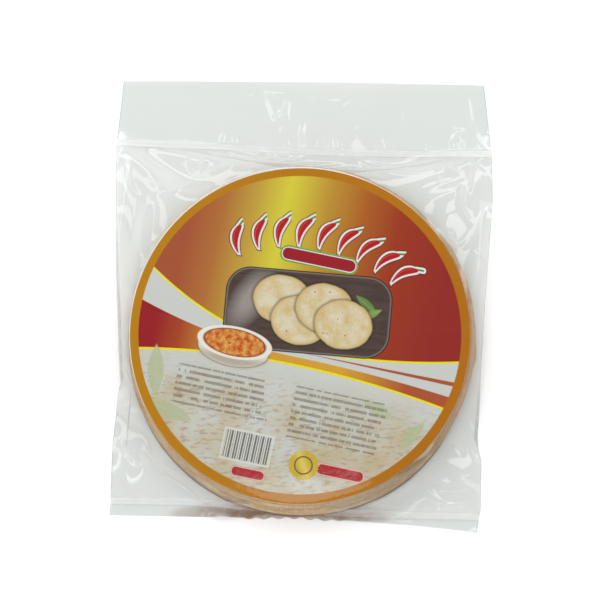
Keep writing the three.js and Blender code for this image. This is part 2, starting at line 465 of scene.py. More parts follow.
def scallop_hem(place):
    """Waves the free edge of both sheets below the stack."""
    x, y = place[..., 0], place[..., 1]
    window = np.clip((x - SCALLOPS_FROM) / SCALLOP_LENGTH, 0.0, 1.0)
    window = window * np.clip((SCALLOPS_TO - x) / SCALLOP_LENGTH, 0.0, 1.0)
    hem = along(BOTTOM_WELD, x) - along(BOTTOM_EDGE, x)
    share = np.clip((along(BOTTOM_WELD, x) - y) / hem, 0.0, 1.0)
    wave = 0.5 - 0.5 * np.cos(math.tau * x / SCALLOP_LENGTH)
    y -= SCALLOP_DEPTH * window * share * wave


def add_small_forms(place):
    """Folds and puckers on the front sheet, and the hem of both."""
    front = place[0]
    past_weld = above_weld(front, TOP_WELD_ROW)
    random = np.random.default_rng(PUCKER_SEED)
    lift = np.zeros(front.shape[:2])
    for fold in FOLDS:
        lift += fold_lift(front, *fold)
    for puckers in PUCKERS:
        lift += pucker_lift(front, past_weld, *puckers, random)
    lift *= np.clip(np.abs(past_weld) / WELD_FLAT, 0.0, 1.0)
    lift *= np.clip((along(MOUTH_EDGE, front[..., 0]) - front[..., 1]) / EDGE_FADE, 0.0, 1.0)
    front[..., 2] += lift
    rest_on_label(front)
    scallop_hem(place)


def weld_distance(sheet):
    """How far each place lies above the nearest weld, or below it as a negative number."""
    above = np.stack([above_weld(sheet, row) for row, _ in WELDS])
    return np.take_along_axis(above, np.abs(above).argmin(0)[None], 0)[0]


def fold_distance(sheet):
    """How far each place lies from the nearer side fold."""
    x = sheet[..., 0]
    return np.minimum(x - x[:, :1], x[:, -1:] - x)


def grid_faces(rows, columns):
    at = np.arange(rows * columns).reshape(rows, columns)
    return np.stack([at[:-1, :-1], at[:-1, 1:], at[1:, 1:], at[1:, :-1]], -1).reshape(-1, 4)


def add_film(material):
    """The two sheets of the bag."""
    place = refine(refine(draw_bag(), 1, FINE_ROWS), 2, FINE_COLUMNS)
    for sheet in place:
        even_out_mouth(sheet)
    press_welds(place)
    straighten_sides(place)
    even_out_rim(place[0])
    add_small_forms(place)
    faces = grid_faces(*place.shape[1:3])
    pieces = []
    for name, sheet, turn in (("film_front", place[0], 1), ("film_back", place[1], -1)):
        piece = mesh_object(name, sheet.reshape(-1, 3), faces[:, ::turn].tolist(), material)
        for measure in (weld_distance, fold_distance):
            values = piece.data.attributes.new(measure.__name__, "FLOAT", "POINT")
            values.data.foreach_set("value", measure(sheet).ravel())
        pieces.append(piece)
    return pieces


# ---- the stack of sheets and the label ----
SHEET_COUNT = 22
SHEET_THICKNESS = 0.5
SHEET_RADIUS = LABEL_RADIUS
WIDEST_RADIUS = SHEET_RADIUS + 1.5
SHEET_SEGMENTS = 180
SHEET_RINGS = (0.6, 0.9, 0.975, 1.0)
LOWEST_SHEET = 0.1
LOWEST_POINT = 0.08
SHEET_SEED = 11
SHEET_SCATTER = 0.35
OUTLINE_WAVES = 7
OUTLINE_DEPTH = 0.6

# Straight stretches of a rim: how many, how deep for their radius, the cosine of their half angle.
CHORDS = 5
CHORD_DEPTH = (0.006, 0.022)
CHORD_FACING = 0.5

# Sheets that slipped farther than their neighbours, and which way.
STRAYS = (((8, 11, 13, 16), (3.4, 2.0)), ((0, 1, 3), (-0.8, -0.4)))

# How high a sheet's rim waves, and how fast that dies down inwards.
RIM_WAVE = 0.16
RIM_WAVE_POWER = 8
LABEL_SEGMENTS = 256
LABEL_EDGE = 0.12
LABEL_GAP = 0.02


def link(obj):
    bpy.context.scene.collection.objects.link(obj)
    return obj


def mesh_object(name, points, faces, material, rounded=True):
    """A mesh of points in millimetres."""
    mesh = bpy.data.meshes.new(name)
    mesh.from_pydata((np.asarray(points) * MM).tolist(), [], faces)
    mesh.materials.append(material)
    mesh.polygons.foreach_set("use_smooth", [rounded] * len(mesh.polygons))
    mesh.update()
    return link(bpy.data.objects.new(name, mesh))


def waves(turn, random, depth):
    """An uneven closed wave, the sum of several whose depth falls with their length."""
    total = np.zeros_like(turn)
    for number in range(2, 2 + OUTLINE_WAVES):
        total += depth / number * random.normal() * np.cos(number * turn + random.uniform(0.0, math.tau))
    return total


def ring(centre, radius, turn, level):
    """A ring of points, all at one level or each at its own."""
    x = centre[0] + radius * np.cos(turn)
    y = centre[1] + radius * np.sin(turn)
    return np.stack([x, y, np.broadcast_to(level, x.shape)], -1)


def lens_mesh(rings):
    """A closed body of rings, each with the same number of points, and a hub at both ends."""
    count = len(rings[0])
    points = np.concatenate([rings[0].mean(0, keepdims=True), *rings, rings[-1].mean(0, keepdims=True)])
    step = np.arange(count)
    after = (step + 1) % count
    faces = [[0, 1 + b, 1 + a] for a, b in zip(step, after)]
    end = len(points) - 1
    last = end - count
    for base in range(1, last, count):
        over = base + count
        faces += [[base + a, base + b, over + b, over + a] for a, b in zip(step, after)]
    faces += [[end, last + a, last + b] for a, b in zip(step, after)]
    return points, faces


def with_chords(radius, turn, random):
    """The outline of a sheet with a few straight stretches, where its thin rim has broken off."""
    for _ in range(CHORDS):
        middle = random.uniform(0.0, math.tau)
        reach = SHEET_RADIUS * (1.0 - random.uniform(*CHORD_DEPTH))
        facing = np.cos(turn - middle)
        chord = np.minimum(radius, reach / np.maximum(facing, CHORD_FACING))
        radius = np.where(facing > CHORD_FACING, chord, radius)
    return radius


def sheet_rings(number, random):
    """One sheet from its underside's middle round its rim to its upper side's middle."""
    low = 1.0 - number / (SHEET_COUNT - 1.0)
    pitch = (STACK_HEIGHT - LOWEST_SHEET - SHEET_THICKNESS) / (SHEET_COUNT - 1.0)
    turn = np.linspace(0.0, math.tau, SHEET_SEGMENTS, endpoint=False)
    centre = np.array(STACK_CENTRE) + low * np.array(SLIP) + random.normal(size=2) * SHEET_SCATTER
    for sheets, slip in STRAYS:
        if number in sheets:
            centre += slip
    radius = with_chords(SHEET_RADIUS + waves(turn, random, OUTLINE_DEPTH), turn, random)
    rise = waves(turn, random, RIM_WAVE)
    rings = []
    shares = [(share, 0.0) for share in SHEET_RINGS] + [(share, 1.0) for share in SHEET_RINGS[::-1]]
    for share, over in shares:
        reach = np.minimum(radius, WIDEST_RADIUS) * share
        level = LOWEST_SHEET + number * pitch + over * SHEET_THICKNESS + rise * share ** RIM_WAVE_POWER
        rings.append(ring(centre, reach, turn, np.clip(level, LOWEST_POINT, STACK_HEIGHT)))
    return rings


def add_sheets(material):
    """All the sheets as one piece."""
    random = np.random.default_rng(SHEET_SEED)
    points, faces = [], []
    start = 0
    for number in range(SHEET_COUNT):
        sheet_points, sheet_faces = lens_mesh(sheet_rings(number, random))
        points.append(sheet_points)
        faces += [[index + start for index in face] for face in sheet_faces]
        start += len(sheet_points)
    piece = mesh_object("rice_sheets", np.concatenate(points), faces, material)
    return piece


def add_label(material):
    """The round card, with a slightly rounded cut edge."""
    turn = np.linspace(0.0, math.tau, LABEL_SEGMENTS, endpoint=False)
    inner = LABEL_RADIUS - LABEL_EDGE
    profile = ((inner, 0.0), (LABEL_RADIUS, LABEL_EDGE),
               (LABEL_RADIUS, LABEL_THICKNESS - LABEL_EDGE), (inner, LABEL_THICKNESS))
    points, faces = lens_mesh([ring(STACK_CENTRE, radius, turn, STACK_HEIGHT + LABEL_GAP + height)
                               for radius, height in profile])
    piece = mesh_object("label_card", points, faces, material, rounded=False)
    return piece


# ---- numbers that vary over a surface ----

def linear(code):
    """A screen colour, given as six hexadecimal digits, as linear light and full cover."""
    parts = [value / 255.0 for value in bytes.fromhex(code)]
    return (*(v / 12.92 if v <= 0.04045 else ((v + 0.055) / 1.055) ** 2.4 for v in parts), 1.0)


class Number:
    """A number that varies over a surface, held by the output of a shader node."""

    def __init__(self, tree, socket):
        self.tree = tree
        self.socket = socket

    def math(self, operation, *others, clamp=False):
        node = self.tree.nodes.new("ShaderNodeMath")
        node.operation = operation
        node.use_clamp = clamp
        for slot, value in zip(node.inputs, (self, *others)):
            if isinstance(value, Number):
                self.tree.links.new(value.socket, slot)
            else:
                slot.default_value = value
        return Number(self.tree, node.outputs[0])

    __add__ = partialmethod(math, "ADD")
    __sub__ = partialmethod(math, "SUBTRACT")
    __mul__ = partialmethod(math, "MULTIPLY")
    __pow__ = partialmethod(math, "POWER")
    __abs__ = partialmethod(math, "ABSOLUTE")
    __round__ = partialmethod(math, "ROUND")
    least = partialmethod(math, "MINIMUM")
    most = partialmethod(math, "MAXIMUM")
    wave = partialmethod(math, "SINE")
    angle = partialmethod(math, "ARCTAN2")

    def __truediv__(self, other):
        return self * (1.0 / other)

    def __neg__(self):
        return self * -1.0

    def __rsub__(self, other):
        return -self + other

    def share(self):
        """The number held between 0 and 1."""
        return self.math("ADD", 0.0, clamp=True)

    def stretch(self, gain, less):
        """The number times a gain, less an amount, held between 0 and 1."""
        return (self * gain - less).share()


class Surface:
    """The nodes of one material."""

    def __init__(self, name):
        self.material = bpy.data.materials.new(name)
        self.material.use_nodes = True
        self.tree = self.material.node_tree
        self.tree.nodes.clear()

    def node(self, kind, **inputs):
        node = self.tree.nodes.new("ShaderNode" + kind)
        for name, value in inputs.items():
            self.feed(node.inputs[name.replace("_", " ")], value)
        return node

    def out(self, kind, **inputs):
        """A new node's first output."""
        return self.node(kind, **inputs).outputs[0]

    def number(self, kind, output, **inputs):
        """A new node's output as a number."""
        return Number(self.tree, self.node(kind, **inputs).outputs[output])

    def feed(self, slot, value):
        if isinstance(value, Number):
            value = value.socket
        if isinstance(value, bpy.types.NodeSocket):
            self.tree.links.new(value, slot)
        else:
            slot.default_value = linear(value) if isinstance(value, str) else value

    def here(self):
        """The object's own coordinates."""
        return self.node("TexCoord").outputs["Object"]

    def place(self):
        """The same in millimetres, as three numbers."""
        split = self.node("SeparateXYZ", Vector=self.here())
        return [Number(self.tree, output) / MM for output in split.outputs]

    def vector(self, x, y, z=0.0):
        return self.out("CombineXYZ", X=x, Y=y, Z=z)

    def noise(self, vector, scale, detail=2.0, roughness=0.5):
        return self.number("TexNoise", "Fac", Vector=vector, Scale=scale, Detail=detail, Roughness=roughness)

    def cells(self, vector, scale):
        return self.number("TexVoronoi", "Distance", Vector=vector, Scale=scale)

    def attribute(self, name):
        """A number that the mesh holds for each of its points."""
        node = self.node("Attribute")
        node.attribute_name = name
        return Number(self.tree, node.outputs["Fac"])

    def bump(self, height, distance):
        """Normals of a relief that is this high, in metres."""
        return self.out("Bump", Height=height, Distance=distance, Strength=1.0)

    def blend(self, share, first, second):
        """One shader where the share is 0, another where it is 1."""
        node = self.node("MixShader", Fac=share)
        self.feed(node.inputs[1], first)
        self.feed(node.inputs[2], second)
        return node.outputs[0]

    def mix(self, share, a, b):
        """One colour where the share is 0, another where it is 1."""
        node = self.node("Mix")
        node.data_type = "RGBA"
        first, second = (slot for slot in node.inputs if slot.type == "RGBA")
        self.feed(node.inputs[0], share)
        self.feed(first, a)
        self.feed(second, b)
        return next(output for output in node.outputs if output.type == "RGBA")

    def ramp(self, number, reach, stops):
        """Colours along a number from -reach to reach: stops are (number, colour) pairs."""
        node = self.node("ValToRGB", Fac=(number + reach) / (2.0 * reach))
        elements = node.color_ramp.elements
        for place, colour in stops:
            elements.new((place + reach) / (2.0 * reach)).color = linear(colour)
        for first_or_last in (0, -1):
            elements.remove(elements[first_or_last])
        return node.outputs["Color"]

    def finish(self, shader):
        self.node("OutputMaterial", Surface=shader)
        return self.material


# ---- the print on the label ----
# Plain colour fields and simple pictures of the food, in the print's own frame: u to its right
# and v up, in millimetres from the label's centre. The label lies turned clockwise. Distances are
# negative inside a form, and its edge is SOFT wide where nothing else is said.
PRINT_TURN = 12.0
PRINT_REACH = 110.0
RING_RADIUS = LABEL_RADIUS - 6.0
PRINT_SHIFT = (0.7, -0.7)
SOFT = 0.35

# Lines between the fields: the height in the middle, and how each side bends.
UPPER_LINE = (-9.0, 0.0032, 0.0012)
RIBBON_LINE = (-15.0, 0.0015, -0.0005)
LOWER_LINE = (-21.0, -0.0010, -0.0008)
BORDER = 1.4
STRIPE_HEIGHT = -11.5
STRIPE_SPREAD = 0.013

# Leaves of the lower field: centre, turn, half length.
LEAVES = (((-86.0, -42.0), 100.0, 17.0), ((-72.0, -66.0), -12.0, 16.0),
          ((60.0, -38.0), 160.0, 12.0), ((84.0, -50.0), 60.0, 12.0))

RING = ((-110.0, "b87e10"), (110.0, "b06c0a"))
CARD_WHITE = "dee0dc"
PALE = "c8cac5"
YELLOW = "e4d800"
BRICK = "ac5432"
CREAM = "beb092"
TAN = "a88668"
LEAF = "b0b892"
TRAY = "54443e"
TRAY_RIM = "2c2220"
TRAY_SHINE = "a8a09a"
SHEET_PALE = "d8cdb4"
SHEET_GOLD = "ccb276"
SHEET_EDGE = "a08864"
CHILLI = "b01c22"
CHILLI_DARK = "681222"
CHILLI_SHINE = "e27860"
STEM = "568430"
GREEN = "76b030"
GOLD = "c4aa3c"
GOLD_DARK = "78543c"
INK = "5c5852"
SAUCE = "be4e16"
SAUCE_LIGHT = "d8a054"
SAUCE_EDGE = "8c3c1a"
SEED = "d6d08c"
BOWL = "d6d0c4"
BOWL_RIM = "e4e0d6"
BOWL_SHADE = "968670"
BOWL_SHADOW = "80705c"
SEAL_SHINE = "e2d06e"
HERB = "688842"
HERB_LIGHT = "809c4e"

# Lozenges: colours from the outside in, and how far each reaches past the innermost.
BADGE = ((GREEN, 1.7), ("304642", 1.0), (CARD_WHITE, 0.7), ("9a1e28", 0.0))
PILL = (("c47874", 0.9), ("d6c4b2", 0.6), ("ac2c34", 0.0))

# Colours of the upper field from left to right, each at its u.
SKY = ((-85.0, "a45334"), (-65.0, "af6f36"), (-45.0, "bf9d3e"),
       (-26.0, "d2c83e"), (0.0, "bb8f32"), (25.0, "ab5e23"),
       (48.0, "9c381e"), (85.0, "942a24"))
RIBBON = ((-92.0, "961e24"), (-76.0, "a64622"), (-46.0, "ce963c"),
          (30.0, "d2a032"), (74.0, BRICK))


def inside(distance, soft=SOFT):
    """1 where a distance is below 0, 0 where it is above, with a soft step."""
    return (distance / -soft).math("ADD", 0.5, clamp=True)


def length(x, y):
    return (x * x + y * y) ** 0.5


def turned(u, v, centre, degrees=0.0):
    """Coordinates about a centre, along axes turned anticlockwise."""
    c, s = math.cos(math.radians(degrees)), math.sin(math.radians(degrees))
    x, y = u - centre[0], v - centre[1]
    if degrees == 0.0:
        return x, y
    return x * c + y * s, y * c - x * s


def oval(u, v, half_width, half_height):
    reach = length(u / half_width, v / half_height)
    return (reach - 1.0) * min(half_width, half_height)


def block(u, v, half_width, half_height, corner=0.01):
    x = (abs(u) - (half_width - corner)).most(0.0)
    y = (abs(v) - (half_height - corner)).most(0.0)
    return length(x, y) - corner


def bow(u, middle, left_bend, right_bend):
    """The height of a line that bends away from its middle, up or down on either side."""
    left, right = u.least(0.0), u.most(0.0)
    return left * left * left_bend + right * right * right_bend + middle


class Print(Surface):
    """A material whose colour is painted field over field."""

    def __init__(self, name):
        super().__init__(name)
        x, y, _ = self.place()
        self.u, self.v = turned(x, y, STACK_CENTRE, -PRINT_TURN)
        self.flat = self.vector(self.u, self.v)
        self.colour = CARD_WHITE

    def about(self, centre, degrees=0.0):
        """The print's coordinates about a centre."""
        return turned(self.u, self.v, centre, degrees)

    def shade(self, colour, share):
        """Lays a colour over the print, as thick as the share."""
        self.colour = self.mix(share, self.colour, colour)

    def paint(self, colour, distance, soft=SOFT, strength=1.0):
        """Lays a colour where the distance is below 0."""
        share = inside(distance, soft)
        self.shade(colour, share if strength == 1.0 else share * strength)


def paint_fields(art):
    """The warm upper field, the pale lower one and the ribbons between them."""
    u, v = art.u, art.v
    upper = v - bow(u, *UPPER_LINE)
    lower = v - bow(u, *LOWER_LINE)
    art.colour = art.ramp(u, PRINT_REACH, SKY)
    art.paint(YELLOW, upper)
    art.paint(PALE, upper + BORDER)
    art.paint(BRICK, abs(v - STRIPE_HEIGHT) - (u * STRIPE_SPREAD).most(0.0))
    art.paint(art.ramp(u, PRINT_REACH, RIBBON), v - bow(u, *RIBBON_LINE))
    art.paint(YELLOW, lower - BORDER)
    paint_lower_field(art, lower)


def paint_lower_field(art, edge):
    """A pale field with faint leaves and straws that fade out upwards."""
    u, v = art.u, art.v
    wash = art.noise(art.flat, 0.035, 3.0)
    straws = art.noise(art.vector(u * 0.16 + v * 0.05, v * 0.5 - u * 0.12), 1.0, 2.0)
    field = art.mix(wash.stretch(3.2, 1.1), PALE, CREAM)
    field = art.mix(straws.stretch(6.0, 3.1) * 0.6, field, TAN)
    art.paint(art.mix((v + 46.0).stretch(0.04, -0.1), field, PALE), edge)
    for leaf in LEAVES:
        paint_leaf(art, *leaf)


def paint_leaf(art, centre, turn, reach, colour=LEAF, strength=0.8, slimness=0.3):
    """A pointed leaf with a pale rib."""
    x, y = art.about(centre, turn)
    share = x / reach
    width = (1.0 - share * share) * (slimness * reach)
    art.paint(colour, abs(y) - width, 0.8, strength)
    art.paint(PALE, (abs(y) - 0.05).most(abs(x) - reach * 0.85), 0.5, 0.5)


def paint_board(art, centre=(2.0, 15.0), half=(54.0, 27.0), corner=16.0, turn=7.0):
    """A dark slate board with a shine at one end."""
    x, y = art.about(centre, turn)
    edge = block(x, y, *half, corner)
    art.paint(TRAY_RIM, edge)
    art.paint(TRAY_SHINE, edge + 0.7, 0.5, 0.6)
    art.paint(TRAY, edge + 1.3, 1.2)
    grain = art.noise(art.vector(x * 0.05, y * 0.4), 1.0, 3.0)
    art.shade(TRAY_RIM, inside(edge + 2.0) * grain.stretch(3.0, 1.2) * 0.5)
    shine = inside(oval(*turned(x, y, (-38.0, 6.0), 60.0), 18.0, 8.0), 9.0)
    art.shade(TRAY_SHINE, shine * inside(edge + 2.0) * 0.75)


def paint_rounds(art, centres, radius=19.0, squash=0.86):
    """Round sheets of rice paper, fanned out, each over the one before."""
    blotch = art.noise(art.flat, 0.10, 3.0)
    grain = art.noise(art.flat, 0.7, 3.0)
    speck = art.cells(art.flat, 0.2)
    for centre in centres:
        edge = oval(*art.about(centre), radius, radius * squash) + (blotch - 0.5) * 1.6
        art.paint(TRAY_RIM, edge - 0.8, 1.4, 0.5)
        art.paint(SHEET_EDGE, edge)
        art.paint(SHEET_GOLD, edge + 0.5, 0.6)
        pale = (blotch * 3.2 - 1.0 + (grain - 0.5)).share()
        art.shade(SHEET_PALE, inside(edge + 1.8, 3.0) * pale)
        art.paint(CHILLI, (speck - 0.11).most((edge + 3.0) * 0.2), 0.05, 0.8)


def paint_chillies(art, centre=(2.0, -40.0), radius=108.0, count=4, step=14.5, half=9.5, lean=68.0):
    """Red chillies with green stems on an arc, count on either side of the middle one."""
    x, y = art.about(centre)
    angle = x.angle(y)
    number = round(angle * (radius / step)).least(count).most(-count)
    around = (angle - number * (step / radius)) * radius
    a, b = turned(around, length(x, y) - radius, (0.0, 0.0), lean)
    share = a / half
    spine = b + share * share * 2.6 - 0.8
    body = (1.0 - share * share).most(0.0) ** 0.5 * (share + 2.0)
    beyond = abs(a) - half + 0.1
    chilli = (abs(spine) - body).most(beyond)
    stem = block(*turned(a, b, (10.6, -2.0), -30.0), 2.6, 0.6, 0.5)
    both = chilli.least(stem)
    art.paint(CHILLI_DARK, both - 1.9, 0.6)
    art.paint(CARD_WHITE, both - 1.3, 0.4)
    art.paint(STEM, stem)
    art.paint(CHILLI, chilli)
    shine = (abs(spine - body * 0.42) - 0.1).most(beyond + 2.4)
    art.paint(CHILLI_SHINE, shine, 0.5, 0.7)


def paint_lozenge(art, centre, half_width, half_height, corner, colours):
    """A bare lozenge with coloured borders."""
    edge = block(*art.about(centre), half_width, half_height, corner)
    for colour, border in colours:
        art.paint(colour, edge - border)


def paint_bowl(art, centre=(-40.0, -14.0), foot=(23.0, 11.5), mouth=(24.5, 10.5), drop=4.0):
    """A small white bowl of chilli sauce."""
    x, y = art.about(centre)
    base = oval(x, y + drop, *foot)
    art.paint(BOWL_SHADOW, base - 0.5, 0.8, 0.8)
    art.paint(BOWL, base)
    art.paint(BOWL_SHADE, base.most(y + 9.0), 4.0, 0.6)
    rim = oval(x, y, *mouth)
    art.paint(BOWL_RIM, rim)
    art.paint(SAUCE_EDGE, rim + 1.6, 0.6)
    blotch = art.noise(art.flat, 0.32, 3.0)
    art.paint(art.mix(blotch.stretch(4.0, 1.5), SAUCE, SAUCE_LIGHT), rim + 2.2)
    seeds = art.cells(art.flat, 0.42)
    art.paint(SEED, seeds.most((rim + 3.4) * 0.3) - 0.16, 0.08, 0.8)


def paint_seal(art, centre=(20.0, -83.0), radius=9.6, dark_radius=5.6, teeth=28):
    """A gold seal with a toothed edge and a dark ring."""
    x, y = art.about(centre)
    out = length(x, y)
    edge = out - radius - (x.angle(y) * teeth).wave() * 0.45
    art.paint(GOLD, edge)
    sheen = inside(abs(x + y * 0.6) - 2.2, 5.0)
    art.shade(SEAL_SHINE, sheen * inside(edge) * 0.7)
    art.paint(GOLD_DARK, abs(out - dark_radius) - 0.45)


def paint_lines(art, centre, half_width, half_height, pitch, seed, strength):
    """Rows of short grey dashes, where small print would be."""
    x, y = art.about(centre)
    row = round(y / pitch)
    across = abs(y - row * pitch) - pitch * 0.22
    words = art.noise(art.vector(x * 0.28 + seed, row * 7.31), 1.0, 3.0, 0.7)
    reach = art.noise(art.vector(row * 3.7 + seed, seed), 1.0, 0.0) * (half_width * 0.5)
    ends = abs(x).most(x + reach) - half_width
    edge = across.most((words - 0.56) * 6.0).most(abs(y) - half_height).most(ends)
    art.paint(INK, edge, 0.3, strength)


def paint_bars(art, centre=(-18.0, -79.0), half_width=15.0, half_height=9.0, pitch=1.55, margin=1.4):
    """A white field of plain dark bars of uneven width."""
    x, y = art.about(centre)
    art.paint(CARD_WHITE, block(x, y, half_width + margin, half_height + margin))
    bar = round(x / pitch)
    width = ((bar * 2.4).wave() + 1.6) * (pitch * 0.16)
    edge = (abs(x - bar * pitch) - width).most(abs(y) - half_height).most(abs(x) - half_width)
    art.paint(INK, edge, 0.3, 0.9)


def paint_ring(art):
    """The golden ring, and the crescent of bare card that the shifted print leaves."""
    golden = art.ramp(art.u, LABEL_RADIUS, RING)
    art.paint(golden, RING_RADIUS - length(art.u, art.v))
    art.paint(CARD_WHITE, LABEL_RADIUS - length(*art.about(PRINT_SHIFT)))


def label_print():
    """The printed card's surface, ready for its shader."""
    art = Print("label_card")
    paint_fields(art)
    paint_chillies(art)
    paint_lozenge(art, (2.0, 50.5), 24.0, 3.8, 3.6, BADGE)
    paint_board(art)
    paint_leaf(art, (38.0, 28.0), -30.0, 9.0, HERB, 1.0)
    paint_leaf(art, (42.0, 22.0), 35.0, 8.0, HERB_LIGHT, 1.0)
    paint_rounds(art, ((-16.0, 20.0), (-2.0, 9.0), (12.0, 20.0), (26.0, 12.0)))
    paint_bowl(art)
    paint_lines(art, (-38.0, -47.0), 34.0, 13.0, 4.2, 1.7, 0.55)
    paint_lines(art, (38.0, -50.0), 33.0, 17.0, 4.2, 5.1, 0.55)
    paint_lozenge(art, (44.0, -83.0), 15.0, 3.3, 2.97, PILL)
    paint_lozenge(art, (-14.0, -95.5), 10.5, 2.8, 2.52, PILL)
    paint_seal(art)
    paint_bars(art)
    paint_ring(art)
    return art


# ---- materials ----
FILM_COLOUR = (0.953, 0.962, 0.956, 1.0)
FILM_MIRROR = 0.08
FILM_MIRROR_POWER = 5.0
FILM_ROUGHNESS = 0.05

# Crinkles: scale, detail and roughness of the fine and the wide ones, and their relief in metres.
FINE_CRINKLES = (130.0, 2.0, 0.5)
WIDE_CRINKLES = (28.0, 1.0, 0.5)
WIDE_CRINKLE_WEIGHT = 3.0
CRINKLE_HEIGHT = 0.00003

# The cloudy weld, the grey line under it, and a grey line along the side folds that is painted shade where
# the film turns over.
WELD_HALF_WIDTH = 2.2
WELD_HAZE = 0.2
WELD_LINE = 0.3
WELD_LINE_HAZE = 0.12
FOLD_SHADE_WIDTH = 0.5
FOLD_SHADE_STRENGTH = 0.16
WELD_WHITE = (0.92, 0.93, 0.92, 1.0)
LINE_GREY = (0.40, 0.42, 0.42, 1.0)

# Painted shade: a brown shadow on the film at the foot of the stack, low in the bag: its middle, how far it
# reaches, how high it lies.
STACK_SHADE_CENTRE = (-12.0, -136.5)
STACK_SHADE_REACH = (54.0, 7.0)
STACK_SHADE_TOP = 4.0
STACK_SHADE_STRENGTH = 0.5
STACK_SHADE_BROWN = "926e4e"

# Rice paper: scale, detail and roughness of its clouds, their relief in metres, and its colours.
RICE_CLOUDS = (240.0, 5.0, 0.7)
RICE_RELIEF = 0.0004
RICE_ROUGHNESS = 0.42
RICE_GLOW = 0.25
RICE_DARK = "e2bc8e"
RICE_LIGHT = "fae6c2"
RICE_BROWN = "a47850"
# Painted shade: the colours of the stack's darker right side and of its shadowed foot.
RICE_RIGHT_SHADE = "ac8056"
RICE_FOOT_SHADE = "764c32"
FOOT_SHADE_HEIGHT = 2.2
RICE_SPECK = "963416"
SPECK_SCALE = 260.0

VARNISH_ROUGHNESS = 0.4
VARNISH_GLOSS = 0.08
FLOOR_COLOUR = (0.93, 0.93, 0.93, 1.0)


def film_material():
    """Clear film: it lets light through, and mirrors more the flatter the view, on either side.
    Fine crinkles unsettle its gloss. The welds are pressed a little cloudy and a grey line runs
    under them. A grey line along the side folds is painted shade, and a brown shadow is painted
    on the film at the foot of the stack."""
    film = Surface("clear_film")
    here = film.here()
    crinkle = film.noise(here, *FINE_CRINKLES) + film.noise(here, *WIDE_CRINKLES) * WIDE_CRINKLE_WEIGHT
    clear = film.out("BsdfTransparent", Color=FILM_COLOUR)
    gloss = film.out("BsdfGlossy", Roughness=FILM_ROUGHNESS, Normal=film.bump(crinkle, CRINKLE_HEIGHT))
    facing = film.number("LayerWeight", "Facing", Blend=0.5)
    mirror = facing ** FILM_MIRROR_POWER * (1.0 - FILM_MIRROR) + FILM_MIRROR
    bare = film.blend(mirror, clear, gloss)
    off = film.attribute("weld_distance")
    band = inside(abs(off) - WELD_HALF_WIDTH, 0.5)
    line = inside(abs(off + WELD_HALF_WIDTH) - WELD_LINE, WELD_LINE) * WELD_LINE_HAZE
    # Painted shade: a thin grey line along each side fold, where the film turns over.
    fold = inside(film.attribute("fold_distance") - FOLD_SHADE_WIDTH, FOLD_SHADE_WIDTH) * FOLD_SHADE_STRENGTH
    # This grey diffuse serves both the welds' own cloudiness and the painted shade of the fold lines.
    cloudy = film.out("BsdfDiffuse", Color=film.mix(band, LINE_GREY, WELD_WHITE))
    welded = film.blend((band * WELD_HAZE).most(line).most(fold), bare, cloudy)
    # Painted shade: a brown diffuse layer on the film stands for the stack's shadow on the hem.
    stack_shade = film.out("BsdfDiffuse", Color=STACK_SHADE_BROWN)
    return film.finish(film.blend(stack_shade_share(film), welded, stack_shade))


def stack_shade_share(surface):
    """How thick the brown shadow painted on the film at the foot of the stack is."""
    x, y, height = surface.place()
    spread = oval(x - STACK_SHADE_CENTRE[0], y - STACK_SHADE_CENTRE[1], *STACK_SHADE_REACH)
    streaks = surface.noise(surface.here(), 120.0).stretch(1.4, -0.1)
    return inside(spread, 6.0) * inside(height - STACK_SHADE_TOP, 3.0) * streaks * STACK_SHADE_STRENGTH


def rice_material():
    """Dried rice paper: beige, cloudy and translucent, with chilli specks. Some sheets are browner.
    Shade is painted in as a darker brown on all sheets at the right and low down."""
    rice = Surface("rice_paper")
    here = rice.here()
    x, y, height = rice.place()
    cloud = rice.noise(here, *RICE_CLOUDS)
    colour = rice.mix((cloud - 0.3) * 2.5, RICE_DARK, RICE_LIGHT)
    tone = rice.noise(rice.vector(height * 1.3, (x + y) * 0.012), 1.0, 3.0)
    colour = rice.mix(tone.stretch(4.0, 1.7) * 0.6, colour, RICE_BROWN)
    # Painted shade: the sheets darken towards the right, where less light falls.
    colour = rice.mix(x.stretch(0.01, 0.25) * 0.5, colour, RICE_RIGHT_SHADE)
    # Painted shade: the lowest sheets darken towards the floor, where shade falls under the stack's edge.
    colour = rice.mix(inside(height - FOOT_SHADE_HEIGHT, 4.0) * 0.9, colour, RICE_FOOT_SHADE)
    specks = inside(rice.cells(here, SPECK_SCALE) - 0.07, 0.04)
    colour = rice.mix(specks, colour, RICE_SPECK)
    relief = rice.bump(cloud, RICE_RELIEF)
    face = rice.out("BsdfPrincipled", Base_Color=colour, Roughness=RICE_ROUGHNESS, Normal=relief)
    glow = rice.out("BsdfTranslucent", Color=colour)
    return rice.finish(rice.blend(RICE_GLOW, face, glow))


def label_material():
    """Printed card with a light varnish."""
    art = label_print()
    return art.finish(art.out("BsdfPrincipled", Base_Color=art.colour, Roughness=VARNISH_ROUGHNESS,
                              Specular_IOR_Level=VARNISH_GLOSS))


def floor_material():
    """Pale and matt."""
    surface = Surface("pale_floor")
    return surface.finish(surface.out("BsdfDiffuse", Color=FLOOR_COLOUR))


# ---- floor, lights and camera ----
FLOOR_HALF = 3000.0
FLOOR_LEVEL = -0.2

# The world's light overhead and near the floor, and the height of the change and its softness.
SKY_LIGHT = 0.08
WALL_LIGHT = 0.9
WALL_TOP = 0.42
WALL_FADE = 0.25

